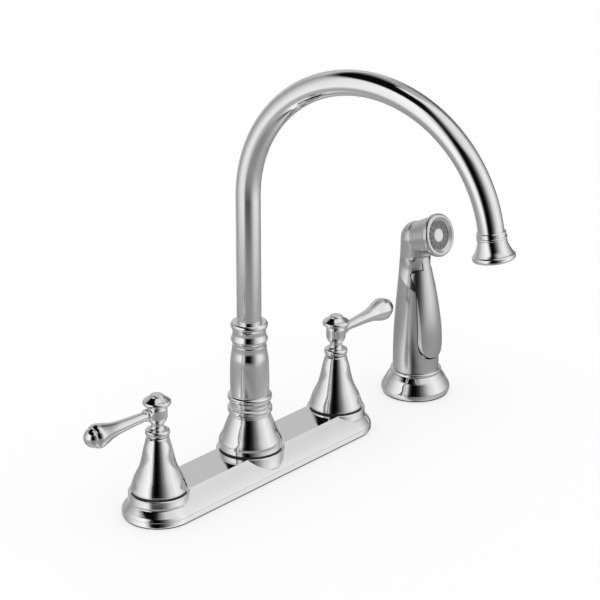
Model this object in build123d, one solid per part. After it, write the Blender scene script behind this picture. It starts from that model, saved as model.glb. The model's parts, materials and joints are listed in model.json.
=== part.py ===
"""Two handle kitchen faucet with a gooseneck spout and a side spray.

Millimetres. X runs along the deck plate, -Y points at the person at the sink,
+Z is up. The origin is on the deck, under the plate, on the spout's axis.
"""
from build123d import *
from math import asin, cos, radians, sin, tan
import os

# ---------------------------------------------------------------- driving sizes
# Deck and layout
STATION = 101.6  # spout to each handle, half of the usual 8 inch spacing
SPRAY_X = 203.2  # the side spray's hole, 4 inches beyond the right handle
DECK_THICKNESS = 12.0  # the sink deck that the nuts clamp
FACE_GAP = 0.1  # between flat faces that turn on each other
RUNNING_GAP = 0.05  # round a shaft that turns or slides in its bore
SLIP_GAP = 0.4  # round an inner piece that turns clear of its housing

# Deck plate and gasket
GASKET_THICKNESS = 1.0
GASKET_INSET = 1.2
PLATE_HALF_WIDTH = 28.2
PLATE_TOP = 20.0
PLATE_WALL = 2.6
RIM_TOP = 4.6
RIM_FOOT = 2.4
RIM_UNDERCUT = 0.6
SKIRT_CURVE = ((0.086, 0.204), (0.342, 0.469), (0.667, 0.748))
PLATEAU_HALF_WIDTH = 16.5
PLATEAU_EDGE = 0.6
BOSS_LIP = 1.9  # a boss shows this much round the bell on it
BOSS_EDGE = 1.1
BOSS_WALL = 5.5  # height of a boss's upright part

# Valve bodies
SHANK_RADIUS = 10.45  # 1/2 inch pipe thread, outside
SHANK_LENGTH = 52.0  # below the deck
SHANK_RELIEF = 1.5
SHANK_TAIL = 21.0  # free end for the supply nut
VALVE_RADIUS = 12.4
VALVE_FLANGE = 16.0
VALVE_FLANGE_THICKNESS = 3.5
VALVE_TOP = 27.0
WATER_RADIUS = 6.2
POCKET_RADIUS = 9.8
POCKET_FLOOR = 15.0
TUBE_RADIUS = 4.76  # crossover, 3/8 inch
TUBE_BORE = 3.8
TUBE_HEIGHT = 9.0
LOCK_RING_RADIUS = 15.0
LOCK_RING_HEIGHT = 2.6

# Cartridge
SEAL_THICKNESS = 2.0
DISC_THICKNESS = 2.2
DISC_PORT = 3.0
HOUSING_BORE = 8.3
STEM_FOOT = 3.2
HOUSING_ROOF = 2.4
HOUSING_FLANGE = 1.6
HOUSING_NECK = 6.5
HOUSING_TOP = 37.0
STEM_RADIUS = 3.5
STEM_TIP_RADIUS = 2.8
STEM_STEP = 60.0
STEM_TOP = 79.0
BONNET_FLATS = 27.2
BONNET_ROOF = 2.4

# Handle bells
BELL_RADIUS = 21.2
BELL_LIP = 1.4
BELL_GASKET = 1.4  # black ring under each bell
BELL_GASKET_INSET = 0.6
BELL_NECK = 8.7
BELL_TOP = 63.9
BELL_WALL = 1.6
BELL_CURVE = ((0.200, 0.180), (0.470, 0.355), (0.700, 0.590), (0.866, 0.828))
WEB_BOTTOM = 33.0
WEB_THICKNESS = 3.0

# Handle hub, cap and lever
BEAD_RADIUS = 9.3
BEAD_HEIGHT = 5.3
WAIST_RADIUS = 4.6
WAIST_HEIGHT = 73.0
NECK_RADIUS = 7.7
NECK_BOTTOM = 79.6
HUB_TOP = 87.6
CAP_RADIUS = 10.7
CAP_RIM = 4.0
CAP_LIFT = 1.3  # the rim's underside above the hub
CAP_BUTTON = 5.2
CAP_TOP = 97.2
CAP_STUD = 2.2
LEVER_HEIGHT = 83.4
LEVER_ROOT = 3.7
LEVER_COLLAR = 5.0
LEVER_COLLAR_START = 8.2
LEVER_COLLAR_LENGTH = 4.0
LEVER_SWELL = 9.3
LEVER_SWELL_AT = 59.3
LEVER_GROOVE = 7.0
LEVER_GROOVE_AT = 64.0
LEVER_BUTTON = 7.4
LEVER_TIP = 70.5
HANDLE_TURN = 2.4  # degrees that the closed levers stand back of the plate's line
LEVER_SPIGOT = 2.6
SET_SCREW_RADIUS = 1.5
SET_SCREW_HEIGHT = 77.0
SET_SCREW_END = 6.0

# Centre body
HUB_RADIUS = 12.4
POST_RADIUS = 9.5
POST_SHOULDER = 30.0
POST_BORE = 6.3
NIPPLE_RADIUS = 6.7
NIPPLE_ROOT = 8.0
NIPPLE_ROOT_BOTTOM = -8.0
NIPPLE_TAIL = 20.0
NIPPLE_BORE = 3.2
HOSE_FLOOR = 4.5
RING_SECTION = 0.8  # O-ring, radius of its section
CLIP_THICKNESS = 1.4
CLIP_DEPTH = 5.0  # the retaining ring below the post's top
SEAL_DEPTH = 7.0  # the upper O-ring below the retaining ring
SEAL_SPACING = 16.0

# Spout bell and swivel
SPOUT_BELL_RADIUS = 24.5
SPOUT_BELL_LIP = 3.4
SPOUT_BELL_NECK = 15.7
SPOUT_BELL_NECK_HEIGHT = 47.8
SPOUT_BELL_RINGS = 6.6  # height of the two rings above the bell's neck
SPOUT_BELL_TOP = SPOUT_BELL_NECK_HEIGHT + SPOUT_BELL_RINGS
SPOUT_BELL_CURVE = ((0.030, 0.080), (0.280, 0.285), (0.590, 0.588), (0.830, 0.830))
LOWER_RING = 17.2
SWIVEL_WASHER = 0.8

# Spout column and collar
COLUMN_RADIUS = 14.85
COLUMN_BULGE = 0.2
COLUMN_NECK = 13.3
COLUMN_TOP = 104.8
RING_A_LIFT = 5.6  # the column's big ring above the bell
RING_A_BOTTOM = SPOUT_BELL_TOP + RING_A_LIFT
RING_A_HEIGHT = 4.8
RING_A_RADIUS = 17.0
COLLAR_TOP = 123.6
COLLAR_GROOVE = 12.4
COLLAR_WAIST = 12.8
COLLAR_RING = 14.1
TUBE_DEPTH = 6.8  # the tube's seat below the column's top
POST_GAP = 2.0  # the post's top below the tube's seat
TUBE_SEAT = COLUMN_TOP - TUBE_DEPTH
POST_TOP = TUBE_SEAT - POST_GAP
CLIP_HEIGHT = POST_TOP - CLIP_DEPTH
UPPER_SEAL = CLIP_HEIGHT - SEAL_DEPTH
LOWER_SEAL = UPPER_SEAL - SEAL_SPACING

# Gooseneck and outlet
GOOSENECK_RADIUS = 9.4
GOOSENECK_WALL = 1.2
RISE = 223.3  # where the straight riser ends
BEND = 105.0
BEND_END = 171.0  # degrees turned at the outlet
SPOUT_TURN = 6.5  # degrees that the spout stands swivelled to the right
SHELL_SLEEVE = 3.0  # the tube ends in a straight run of this length
SHELL_SKIN = 1.1
SHELL_LENGTH = 18.0
SHELL_RIM = 15.5
SHELL_RIM_HEIGHT = 4.6
AERATOR_RADIUS = 11.2
AERATOR_LENGTH = 6.2
AERATOR_RECESS = 0.9
SCREEN_THICKNESS = 0.6
OUTLET_WASHER = 1.2

# Diverter
CAGE_BOTTOM = 26.0
CAGE_TOP = 40.0
PISTON_STEM = 3.0
PISTON_HEAD = 5.4
PISTON_HEAD_THICKNESS = 2.0
PISTON_TRAVEL = 2.2
PISTON_TOP = 46.0
PISTON_WASHER = 1.0

# Mounting hardware
WASHER_THICKNESS = 1.6
WASHER_RADIUS = 18.5
NUT_HEIGHT = 13.0
NUT_RADIUS = 15.0
NUT_WING = 24.0
NUT_WING_THICKNESS = 4.0

# Spray support
SUPPORT_RADIUS = 28.2
SUPPORT_LIP_RADIUS = 20.8
SUPPORT_LIP_HEIGHT = 3.0
SUPPORT_TOP = 21.0
SUPPORT_RIM_TOP = 6.8
SUPPORT_CURVE = ((0.20, 0.223), (0.557, 0.643), (0.886, 0.911))
CUP_RADIUS = 16.9
CUP_FLOOR = 8.0
SUPPORT_SHANK = 14.5
SUPPORT_SHANK_LENGTH = 36.0
SUPPORT_BORE = 12.3
BUSHING_WALL = 1.9
SPRAY_NUT_HEIGHT = 9.0
SPRAY_NUT_FLATS = 40.0
SPRAY_WASHER_RADIUS = 22.0

# Spray body
COUPLING_RADIUS = 10.0
COUPLING_SPINDLE = 7.4
COUPLING_BOTTOM = -27.0
COUPLING_TOP = 30.0
HOSE_END_RADIUS = 5.2
HOSE_END_LENGTH = 9.0
PLUG_RADIUS = 16.3
BODY_RADIUS = 18.8
BODY_NECK = 13.7
BODY_NECK_HEIGHT = 133.5
BODY_CURVE = ((0.110, 0.272), (0.600, 0.608), (0.873, 0.808))
PASSAGE = 3.2
HEAD_RISE = 6.2  # the head's front above the body's neck
HEAD_HEIGHT = BODY_NECK_HEIGHT + HEAD_RISE  # where the face ring sits
HEAD_FRONT = 17.9  # from the spray's axis to the face ring
HEAD_TILT = 15.0  # degrees that the face looks upwards
HEAD_REAR_RADIUS = 13.0
HEAD_RADIUS = 16.0
FACE_RING_RADIUS = 17.5
FACE_RING_DEPTH = 6.0
FACE_RADIUS = 11.6
FACE_RECESS = 2.4
FACE_BEVEL = 1.8
FACE_BUTTON = 5.3
FACE_NOZZLES = 16
NOZZLE_RADIUS = 0.7
THROAT_BACK = 2.5  # the throat is round an axis this far behind the spray's
THROAT = ((18.5, -27.5), (15.1, -14.0), (12.7, -1.0), (13.6, 5.5), (17.5, 9.3))  # (distance, height above the pivot)

# Trigger, pin and plunger
TRIGGER_THICKNESS = 3.2
TRIGGER_BOTTOM = 34.5
TRIGGER_RISE = 5.5  # the neck's top above the pivot
TRIGGER_SHOULDER = 5.0  # the wide part's top below the pivot
TRIGGER_HALF_WIDTH = 13.4
TRIGGER_TONGUE = 16.5  # height of the rounded lower end
TRIGGER_NECK = 4.5
TRIGGER_CLEARANCE = 0.5
TRIGGER_TRAVEL = 5.0  # degrees
PIVOT_HEIGHT = 113.5
PIVOT_DEPTH = 6.4
PIN_RADIUS = 1.1
PIN_HALF_LENGTH = 7.2
KNUCKLE_RADIUS = 2.2
PLUNGER_HEIGHT = 94.0
PLUNGER_RADIUS = 1.6
PLUNGER_HEAD = 2.6
PLUNGER_HEAD_THICKNESS = 2.0
PLUNGER_DOME = 1.2
PLUNGER_INNER_END = 1.6
SPRING_WALL = 0.6
# The trigger's front, as (distance from the spray's axis, share of the way from its bottom to the pivot)
TRIGGER_FRONT = ((20.4, -0.032), (21.1, 0.196), (18.9, 0.462), (16.4, 0.652), (12.6, 0.880), (9.4, 1.082))


# ---------------------------------------------------------------- drawing aids
def rz(radius, height):
    """A point of an outline that is turned round the Z axis."""
    return (radius, 0, height)


def turned(*edges):
    """The solid made by turning a closed outline once round the Z axis."""
    return revolve(Face(Wire(list(edges))), Axis.Z)


def rod(radius, bottom, top):
    """An upright cylinder on the Z axis."""
    return Pos(0, 0, (bottom + top) / 2) * Cylinder(radius, top - bottom)


def sleeve(outer, inner, bottom, top):
    """An upright tube on the Z axis."""
    return rod(outer, bottom, top) - rod(inner, bottom - 1, top + 1)


def hexagon(flats, bottom, top):
    """An upright hexagonal bar, measured across its flats."""
    base = Pos(0, 0, bottom) * RegularPolygon(flats / 2, 6, major_radius=False)
    return extrude(base, top - bottom)


def bead(inner, outer, bottom, top, rounding):
    """A turned ring with rounded outer edges."""
    near = rounding * (1 - cos(radians(45)))
    return turned(
        Line(rz(inner, bottom), rz(outer - rounding, bottom)),
        ThreePointArc(rz(outer - rounding, bottom), rz(outer - near, bottom + near), rz(outer, bottom + rounding)),
        Line(rz(outer, bottom + rounding), rz(outer, top - rounding)),
        ThreePointArc(rz(outer, top - rounding), rz(outer - near, top - near), rz(outer - rounding, top)),
        Line(rz(outer - rounding, top), rz(inner, top)),
        Line(rz(inner, top), rz(inner, bottom)),
    )


def flare(low, high, shares, leave, arrive):
    """A smooth curve from low to high, both (radius, height), through points given as shares of the run."""
    between = [(low[0] + (high[0] - low[0]) * a, low[1] + (high[1] - low[1]) * b) for a, b in shares]
    points = [rz(*p) for p in (low, *between, high)]
    return Spline(points, tangents=[rz(*leave), rz(*arrive)])


def dome(radius, height, rise):
    """The arc of a spherical cap, from its edge to its top on the axis."""
    sphere = (radius**2 + rise**2) / (2 * rise)
    half = asin(radius / sphere) / 2
    centre = height + rise - sphere
    return ThreePointArc(rz(radius, height), rz(sphere * sin(half), centre + sphere * cos(half)), rz(0, height + rise))


def o_ring(outer, height):
    """An O-ring that reaches out to the radius outer."""
    return Pos(0, 0, height) * Torus(outer - RING_SECTION, RING_SECTION)


def o_ring_groove(outer, height):
    """What is cut from a shaft to seat that O-ring."""
    half = RING_SECTION + RUNNING_GAP
    return sleeve(outer + 1, outer - 2 * half, height - half, height + half)


def both_handles(shape):
    """Two copies of a shape, one at each handle."""
    return [Pos(side * STATION, 0, 0) * shape for side in (-1, 1)]


# ---------------------------------------------------------------- deck plate
def boss(bell, inset):
    """The raised seat of a bell, running out into the skirt at its first inner point."""
    rim = (PLATE_HALF_WIDTH - inset, RIM_TOP - inset / 2)
    wall = bell + BOSS_LIP - inset
    top = PLATE_TOP - inset
    in_share, up_share = SKIRT_CURVE[0]
    low = (rim[0] - in_share * (rim[0] - PLATEAU_HALF_WIDTH), rim[1] + up_share * (top - rim[1]))
    near = BOSS_EDGE * (1 - cos(radians(45)))
    return turned(
        Line(rz(0, low[1]), rz(*low)),
        Spline([rz(*low), rz(wall, top - BOSS_WALL)], tangents=[rz(-0.6, 1), rz(0, 1)]),
        Line(rz(wall, top - BOSS_WALL), rz(wall, top - BOSS_EDGE)),
        ThreePointArc(rz(wall, top - BOSS_EDGE), rz(wall - near, top - near), rz(wall - BOSS_EDGE, top)),
        Line(rz(wall - BOSS_EDGE, top), rz(0, top)),
        Line(rz(0, top), rz(0, low[1])),
    )


def plate_form(inset, bottom):
    """The plate's outer form, or its cavity when it is drawn in by an inset."""
    rim = PLATE_HALF_WIDTH - inset
    plateau = PLATEAU_HALF_WIDTH - inset
    top = PLATE_TOP - inset
    rim_top = RIM_TOP - inset / 2
    outline = [
        Line(rz(0, bottom), rz(rim - RIM_UNDERCUT, bottom)),
        ThreePointArc(rz(rim - RIM_UNDERCUT, bottom), rz(rim - RIM_UNDERCUT * 0.3, (bottom + RIM_FOOT) / 2 - 0.2),
                      rz(rim, RIM_FOOT)),
        Line(rz(rim, RIM_FOOT), rz(rim, rim_top)),
        flare((rim, rim_top), (plateau, top - PLATEAU_EDGE), SKIRT_CURVE, (0, 1), (-1, 0.85)),
        Line(rz(plateau, top - PLATEAU_EDGE), rz(plateau - PLATEAU_EDGE, top)),
        Line(rz(plateau - PLATEAU_EDGE, top), rz(0, top)),
        Line(rz(0, top), rz(0, bottom)),
    ]
    half = Face(Wire(outline))
    end = revolve(half, Axis.Z)
    side = Pos(-STATION, 0, 0) * extrude(Rot(0, 0, 90) * half, 2 * STATION, dir=(1, 0, 0))
    form = side + mirror(side, Plane.XZ)
    for x in (-STATION, STATION):
        form += Pos(x, 0, 0) * end
    for x, bell in ((-STATION, BELL_RADIUS), (0, SPOUT_BELL_RADIUS), (STATION, BELL_RADIUS)):
        form += Pos(x, 0, 0) * boss(bell, inset)
    return form


def deck_plate():
    plate = plate_form(0, GASKET_THICKNESS) - plate_form(PLATE_WALL, GASKET_THICKNESS - 1)
    for x, body in ((-STATION, VALVE_RADIUS), (0, HUB_RADIUS), (STATION, VALVE_RADIUS)):
        plate -= Pos(x, 0, 0) * rod(body + RUNNING_GAP, 0, PLATE_TOP + 1)
    return plate


def deck_gasket():
    outline = SlotCenterToCenter(2 * STATION, 2 * (PLATE_HALF_WIDTH - GASKET_INSET))
    gasket = extrude(outline, GASKET_THICKNESS)
    for x, hole in ((-STATION, SHANK_RADIUS), (0, NIPPLE_ROOT), (STATION, SHANK_RADIUS)):
        gasket -= Pos(x, 0, 0) * rod(hole + SLIP_GAP, -1, GASKET_THICKNESS + 1)
    return gasket


# ---------------------------------------------------------------- valves
UNDER_PLATE = PLATE_TOP - PLATE_WALL
SHANK_TOP = 2.0
NUT_BOTTOM = -DECK_THICKNESS - WASHER_THICKNESS - NUT_HEIGHT


def valve_body(towards):
    """Brass body and threaded shank; towards is the X direction of the spout."""
    body = rod(SHANK_RADIUS, -SHANK_LENGTH, SHANK_TOP)
    relief_top = SHANK_TAIL - SHANK_LENGTH + SHANK_RELIEF
    body -= sleeve(SHANK_RADIUS + 1, SHANK_RADIUS - 1, relief_top - SHANK_RELIEF, relief_top)
    body += rod(VALVE_RADIUS, SHANK_TOP, VALVE_TOP)
    body += rod(VALVE_FLANGE, UNDER_PLATE - VALVE_FLANGE_THICKNESS, UNDER_PLATE)
    body -= rod(WATER_RADIUS, -SHANK_LENGTH - 1, POCKET_FLOOR)
    body -= rod(POCKET_RADIUS, POCKET_FLOOR, VALVE_TOP + 1)
    port = Rot(0, 90, 0) * Cylinder(TUBE_RADIUS + RUNNING_GAP, 2 * VALVE_RADIUS)
    return body - Pos(towards * VALVE_RADIUS, 0, TUBE_HEIGHT) * port


def crossover_tube(towards):
    """Copper tube from a valve body to the centre body, inside the plate."""
    start = WATER_RADIUS + 1
    end = STATION - POST_BORE - 1
    tube = Cylinder(TUBE_RADIUS, end - start) - Cylinder(TUBE_BORE, end)
    return Pos(towards * (start + end) / 2, 0, TUBE_HEIGHT) * Rot(0, 90, 0) * tube


def cartridge():
    flange_bottom = VALVE_TOP
    roof = POCKET_FLOOR + SEAL_THICKNESS + 2 * DISC_THICKNESS + STEM_FOOT + SLIP_GAP
    housing = rod(POCKET_RADIUS - RUNNING_GAP, POCKET_FLOOR, flange_bottom + HOUSING_FLANGE)
    housing += rod(VALVE_RADIUS, flange_bottom, flange_bottom + HOUSING_FLANGE)
    housing += rod(HOUSING_NECK, flange_bottom, HOUSING_TOP)
    housing -= rod(HOUSING_BORE, POCKET_FLOOR - 1, roof)
    return housing - rod(STEM_RADIUS + RUNNING_GAP, roof - 1, HOUSING_TOP + 1)


def seat_seal():
    return sleeve(HOUSING_BORE - RUNNING_GAP, WATER_RADIUS - 1, POCKET_FLOOR, POCKET_FLOOR + SEAL_THICKNESS)


def ceramic_disc(radius, bottom, turn):
    """A disc with two ports, turned about its axis by an angle in degrees."""
    disc = rod(radius, bottom, bottom + DISC_THICKNESS)
    for side in (-1, 1):
        port = Pos(side * radius / 2, 0, 0) * rod(DISC_PORT / 2, bottom - 1, bottom + DISC_THICKNESS + 1)
        disc -= Rot(0, 0, turn) * port
    return disc


def stem():
    foot_bottom = POCKET_FLOOR + SEAL_THICKNESS + 2 * DISC_THICKNESS
    shaft = rod(HOUSING_BORE - 2 * SLIP_GAP, foot_bottom, foot_bottom + STEM_FOOT)
    shaft += rod(STEM_RADIUS, foot_bottom, STEM_STEP)
    shaft += rod(STEM_TIP_RADIUS, foot_bottom, STEM_TOP)
    return shaft - o_ring_groove(STEM_RADIUS, stem_seal_height())


def stem_seal_height():
    return (VALVE_TOP + HOUSING_TOP) / 2


def bonnet_nut():
    top = VALVE_TOP + HOUSING_FLANGE + BONNET_ROOF
    nut = hexagon(BONNET_FLATS, PLATE_TOP + LOCK_RING_HEIGHT + FACE_GAP, top)
    nut -= rod(VALVE_RADIUS + RUNNING_GAP, 0, VALVE_TOP + HOUSING_FLANGE)
    return nut - rod(HOUSING_NECK + RUNNING_GAP, 0, top + 1)


def lock_ring(thread):
    """The thin ring that clamps the plate on a body's flange."""
    return sleeve(LOCK_RING_RADIUS, thread + RUNNING_GAP, PLATE_TOP, PLATE_TOP + LOCK_RING_HEIGHT)


# ---------------------------------------------------------------- handle bells
BELL_FOOT = PLATE_TOP + BELL_GASKET


def bell_gasket(bell):
    """The black ring between a bell of that radius and the plate."""
    outer = bell - BELL_GASKET_INSET
    return sleeve(outer, outer - 2 * BELL_WALL, PLATE_TOP, BELL_FOOT)


def handle_bell():
    lip_top = BELL_FOOT + BELL_LIP
    shoulder = BELL_TOP - 1.0
    outer = flare((BELL_RADIUS, lip_top), (BELL_NECK, shoulder), BELL_CURVE, (-0.45, 1), (-0.18, 1))
    shell = turned(
        Line(rz(0, BELL_FOOT), rz(BELL_RADIUS, BELL_FOOT)),
        Line(rz(BELL_RADIUS, BELL_FOOT), rz(BELL_RADIUS, lip_top)),
        outer,
        Line(rz(BELL_NECK, shoulder), rz(BELL_NECK - 1, BELL_TOP)),
        Line(rz(BELL_NECK - 1, BELL_TOP), rz(0, BELL_TOP)),
        Line(rz(0, BELL_TOP), rz(0, BELL_FOOT)),
    )
    inside = BELL_RADIUS - BELL_WALL
    crown = BELL_TOP - 2 * BELL_WALL
    throat = BELL_NECK - BELL_WALL
    hollow = turned(
        Line(rz(0, PLATE_TOP - 1), rz(inside, PLATE_TOP - 1)),
        Line(rz(inside, PLATE_TOP - 1), rz(inside, lip_top)),
        flare((inside, lip_top), (throat, crown), BELL_CURVE, (-0.45, 1), (-0.18, 1)),
        Line(rz(throat, crown), rz(0, crown)),
        Line(rz(0, crown), rz(0, PLATE_TOP - 1)),
    )
    web = rod(BELL_RADIUS, WEB_BOTTOM, WEB_BOTTOM + WEB_THICKNESS)
    shell -= hollow - web
    shell -= rod(HOUSING_NECK + RUNNING_GAP, 0, WEB_BOTTOM + WEB_THICKNESS + 1)
    return shell - rod(STEM_RADIUS + SLIP_GAP, 0, BELL_TOP + 1)


# ---------------------------------------------------------------- handles
HUB_BOTTOM = BELL_TOP + FACE_GAP + SLIP_GAP
CAP_BOTTOM = HUB_TOP


def handle_hub():
    bead_top = HUB_BOTTOM + BEAD_HEIGHT
    foot = BEAD_RADIUS - BEAD_HEIGHT * 0.42
    core = turned(
        Line(rz(0, HUB_BOTTOM), rz(foot, HUB_BOTTOM)),
        Line(rz(foot, HUB_BOTTOM), rz(foot, bead_top)),
        Spline([rz(foot, bead_top), rz(WAIST_RADIUS, WAIST_HEIGHT), rz(NECK_RADIUS, NECK_BOTTOM)],
               tangents=[rz(-1, 0.35), rz(0.15, 1)]),
        Line(rz(NECK_RADIUS, NECK_BOTTOM), rz(NECK_RADIUS, HUB_TOP - 1.6)),
        Line(rz(NECK_RADIUS, HUB_TOP - 1.6), rz(NECK_RADIUS - 1.0, HUB_TOP)),
        Line(rz(NECK_RADIUS - 1.0, HUB_TOP), rz(0, HUB_TOP)),
        Line(rz(0, HUB_TOP), rz(0, HUB_BOTTOM)),
    )
    hub = core + bead(0, BEAD_RADIUS, HUB_BOTTOM, bead_top, BEAD_HEIGHT * 0.42)
    hub -= rod(STEM_TIP_RADIUS + RUNNING_GAP, 0, STEM_TOP + RUNNING_GAP)
    hub -= rod(CAP_STUD + RUNNING_GAP, STEM_TOP, HUB_TOP + 1)
    hole = Rot(90, 0, 0) * Cylinder(SET_SCREW_RADIUS + RUNNING_GAP, NECK_RADIUS * 2)
    return hub - Pos(0, NECK_RADIUS, SET_SCREW_HEIGHT) * hole


def handle_cap():
    rim_bottom = CAP_BOTTOM + CAP_LIFT
    rim_top = rim_bottom + CAP_RIM
    neck = NECK_RADIUS - 0.9
    button_bottom = CAP_TOP - 1.8
    cap = turned(
        Line(rz(0, CAP_BOTTOM), rz(neck, CAP_BOTTOM)),
        Line(rz(neck, CAP_BOTTOM), rz(CAP_RADIUS - 1.9, rim_bottom)),
        ThreePointArc(rz(CAP_RADIUS - 1.9, rim_bottom), rz(CAP_RADIUS, rim_bottom + CAP_RIM * 0.5),
                      rz(CAP_RADIUS - 1.2, rim_top)),
        ThreePointArc(rz(CAP_RADIUS - 1.2, rim_top), rz(CAP_RADIUS - 3.4, rim_top + 1.25),
                      rz(CAP_BUTTON, button_bottom + 0.2)),
        Line(rz(CAP_BUTTON, button_bottom + 0.2), rz(0, button_bottom + 0.2)),
        Line(rz(0, button_bottom + 0.2), rz(0, CAP_BOTTOM)),
    )
    cap += bead(0, CAP_BUTTON, button_bottom - 1, CAP_TOP, 1.2)
    return cap + rod(CAP_STUD, STEM_TOP + 1.5, CAP_BOTTOM)


def lever(side):
    """The lever, turned round its own axis and pointing along X to that side."""
    collar_end = LEVER_COLLAR_START + LEVER_COLLAR_LENGTH
    swell_end = LEVER_SWELL_AT + 2.4
    blade = turned(
        Line(rz(0, LEVER_COLLAR_START), rz(LEVER_ROOT, LEVER_COLLAR_START)),
        Line(rz(LEVER_ROOT, LEVER_COLLAR_START), rz(LEVER_ROOT, collar_end)),
        Spline([rz(LEVER_ROOT, collar_end), rz(LEVER_ROOT + 1.1, LEVER_SWELL_AT - 23.3),
                rz(LEVER_ROOT + 2.6, LEVER_SWELL_AT - 11.8), rz(LEVER_SWELL, LEVER_SWELL_AT)],
               tangents=[rz(0.02, 1), rz(0.12, 1)]),
        ThreePointArc(rz(LEVER_SWELL, LEVER_SWELL_AT), rz(LEVER_SWELL - 0.5, swell_end),
                      rz(LEVER_GROOVE, LEVER_GROOVE_AT)),
        Line(rz(LEVER_GROOVE, LEVER_GROOVE_AT), rz(LEVER_GROOVE - 0.4, LEVER_GROOVE_AT + 0.4)),
        Line(rz(LEVER_GROOVE - 0.4, LEVER_GROOVE_AT + 0.4), rz(LEVER_BUTTON, LEVER_GROOVE_AT + 1.0)),
        dome(LEVER_BUTTON, LEVER_GROOVE_AT + 1.0, LEVER_TIP - LEVER_GROOVE_AT - 1.0),
        Line(rz(0, LEVER_TIP), rz(0, LEVER_COLLAR_START)),
    )
    blade += bead(0, LEVER_COLLAR, LEVER_COLLAR_START, collar_end, LEVER_COLLAR_LENGTH * 0.45)
    # the root meets the hub in a saddle of the hub's own radius, and a spigot goes on into it
    blade += rod(LEVER_ROOT, NECK_RADIUS / 2, collar_end)
    saddle = Rot(0, 90, 0) * rod(NECK_RADIUS, -2 * NECK_RADIUS, 2 * NECK_RADIUS)
    blade -= saddle
    blade += rod(LEVER_SPIGOT, CAP_STUD + SLIP_GAP, collar_end)
    return Pos(0, 0, LEVER_HEIGHT) * Rot(0, side * 90, 0) * blade


def lever_socket(side):
    """What the lever's spigot needs out of the hub."""
    return Pos(0, 0, LEVER_HEIGHT) * Rot(0, side * 90, 0) * rod(LEVER_SPIGOT + RUNNING_GAP, 0, 2 * NECK_RADIUS)


def set_screw():
    screw = Cylinder(SET_SCREW_RADIUS, SET_SCREW_END - STEM_TIP_RADIUS)
    socket = Pos(0, 0, 1) * extrude(RegularPolygon(SET_SCREW_RADIUS * 0.5, 6), SET_SCREW_END)
    place = Pos(0, (SET_SCREW_END + STEM_TIP_RADIUS) / 2 + RUNNING_GAP, SET_SCREW_HEIGHT)
    return place * Rot(-90, 0, 0) * (screw - socket)


# ---------------------------------------------------------------- centre body
def centre_body():
    nipple_bottom = NIPPLE_ROOT_BOTTOM - NIPPLE_TAIL
    body = rod(NIPPLE_RADIUS, nipple_bottom, SHANK_TOP) + rod(NIPPLE_ROOT, NIPPLE_ROOT_BOTTOM, SHANK_TOP)
    body += rod(HUB_RADIUS, SHANK_TOP, POST_SHOULDER)
    body += rod(VALVE_FLANGE, UNDER_PLATE - VALVE_FLANGE_THICKNESS, UNDER_PLATE)
    body += rod(POST_RADIUS, POST_SHOULDER, POST_TOP)
    body -= rod(POST_BORE, HOSE_FLOOR, POST_TOP + 1)
    body -= rod(NIPPLE_BORE, nipple_bottom - 1, HOSE_FLOOR + 1)
    body -= Pos(0, 0, TUBE_HEIGHT) * Rot(0, 90, 0) * Cylinder(TUBE_RADIUS + RUNNING_GAP, 4 * HUB_RADIUS)
    for height in (LOWER_SEAL, UPPER_SEAL):
        body -= o_ring_groove(POST_RADIUS, height)
    return body - sleeve(POST_RADIUS + 1, POST_RADIUS - 1.2, CLIP_HEIGHT, CLIP_HEIGHT + CLIP_THICKNESS + FACE_GAP)


def retaining_ring():
    """A split ring in the post's groove that keeps the spout down."""
    ring = sleeve(POST_RADIUS + 0.8, POST_RADIUS - 1.1, CLIP_HEIGHT + FACE_GAP / 2,
                  CLIP_HEIGHT + FACE_GAP / 2 + CLIP_THICKNESS)
    return ring - Pos(0, POST_RADIUS, CLIP_HEIGHT) * Box(3, 6, 4 * CLIP_THICKNESS)


def spout_bell():
    lip_top = BELL_FOOT + SPOUT_BELL_LIP
    neck = SPOUT_BELL_NECK
    shell = turned(
        Line(rz(0, BELL_FOOT), rz(SPOUT_BELL_RADIUS, BELL_FOOT)),
        Line(rz(SPOUT_BELL_RADIUS, BELL_FOOT), rz(SPOUT_BELL_RADIUS, lip_top)),
        flare((SPOUT_BELL_RADIUS, lip_top), (neck, SPOUT_BELL_NECK_HEIGHT), SPOUT_BELL_CURVE, (-0.2, 1), (-0.3, 1)),
        Line(rz(neck, SPOUT_BELL_NECK_HEIGHT), rz(neck, SPOUT_BELL_TOP)),
        Line(rz(neck, SPOUT_BELL_TOP), rz(0, SPOUT_BELL_TOP)),
        Line(rz(0, SPOUT_BELL_TOP), rz(0, BELL_FOOT)),
    )
    shell += bead(0, neck + 0.5, SPOUT_BELL_NECK_HEIGHT, SPOUT_BELL_NECK_HEIGHT + 2.0, 0.9)
    shell += bead(0, LOWER_RING, SPOUT_BELL_NECK_HEIGHT + 2.6, SPOUT_BELL_TOP, 1.2)
    inside = SPOUT_BELL_RADIUS - BELL_WALL
    crown = SPOUT_BELL_NECK_HEIGHT
    throat = neck - BELL_WALL
    hollow = turned(
        Line(rz(0, PLATE_TOP - 1), rz(inside, PLATE_TOP - 1)),
        Line(rz(inside, PLATE_TOP - 1), rz(inside, lip_top)),
        flare((inside, lip_top), (throat, crown), SPOUT_BELL_CURVE, (-0.2, 1), (-0.3, 1)),
        Line(rz(throat, crown), rz(0, crown)),
        Line(rz(0, crown), rz(0, PLATE_TOP - 1)),
    )
    return shell - hollow - rod(POST_RADIUS + RUNNING_GAP, 0, SPOUT_BELL_TOP + 1)


# ---------------------------------------------------------------- spout
COLUMN_BOTTOM = SPOUT_BELL_TOP + SWIVEL_WASHER + FACE_GAP


def swivel_washer():
    return sleeve(SPOUT_BELL_NECK, POST_RADIUS + RUNNING_GAP, SPOUT_BELL_TOP, SPOUT_BELL_TOP + SWIVEL_WASHER)


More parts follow.
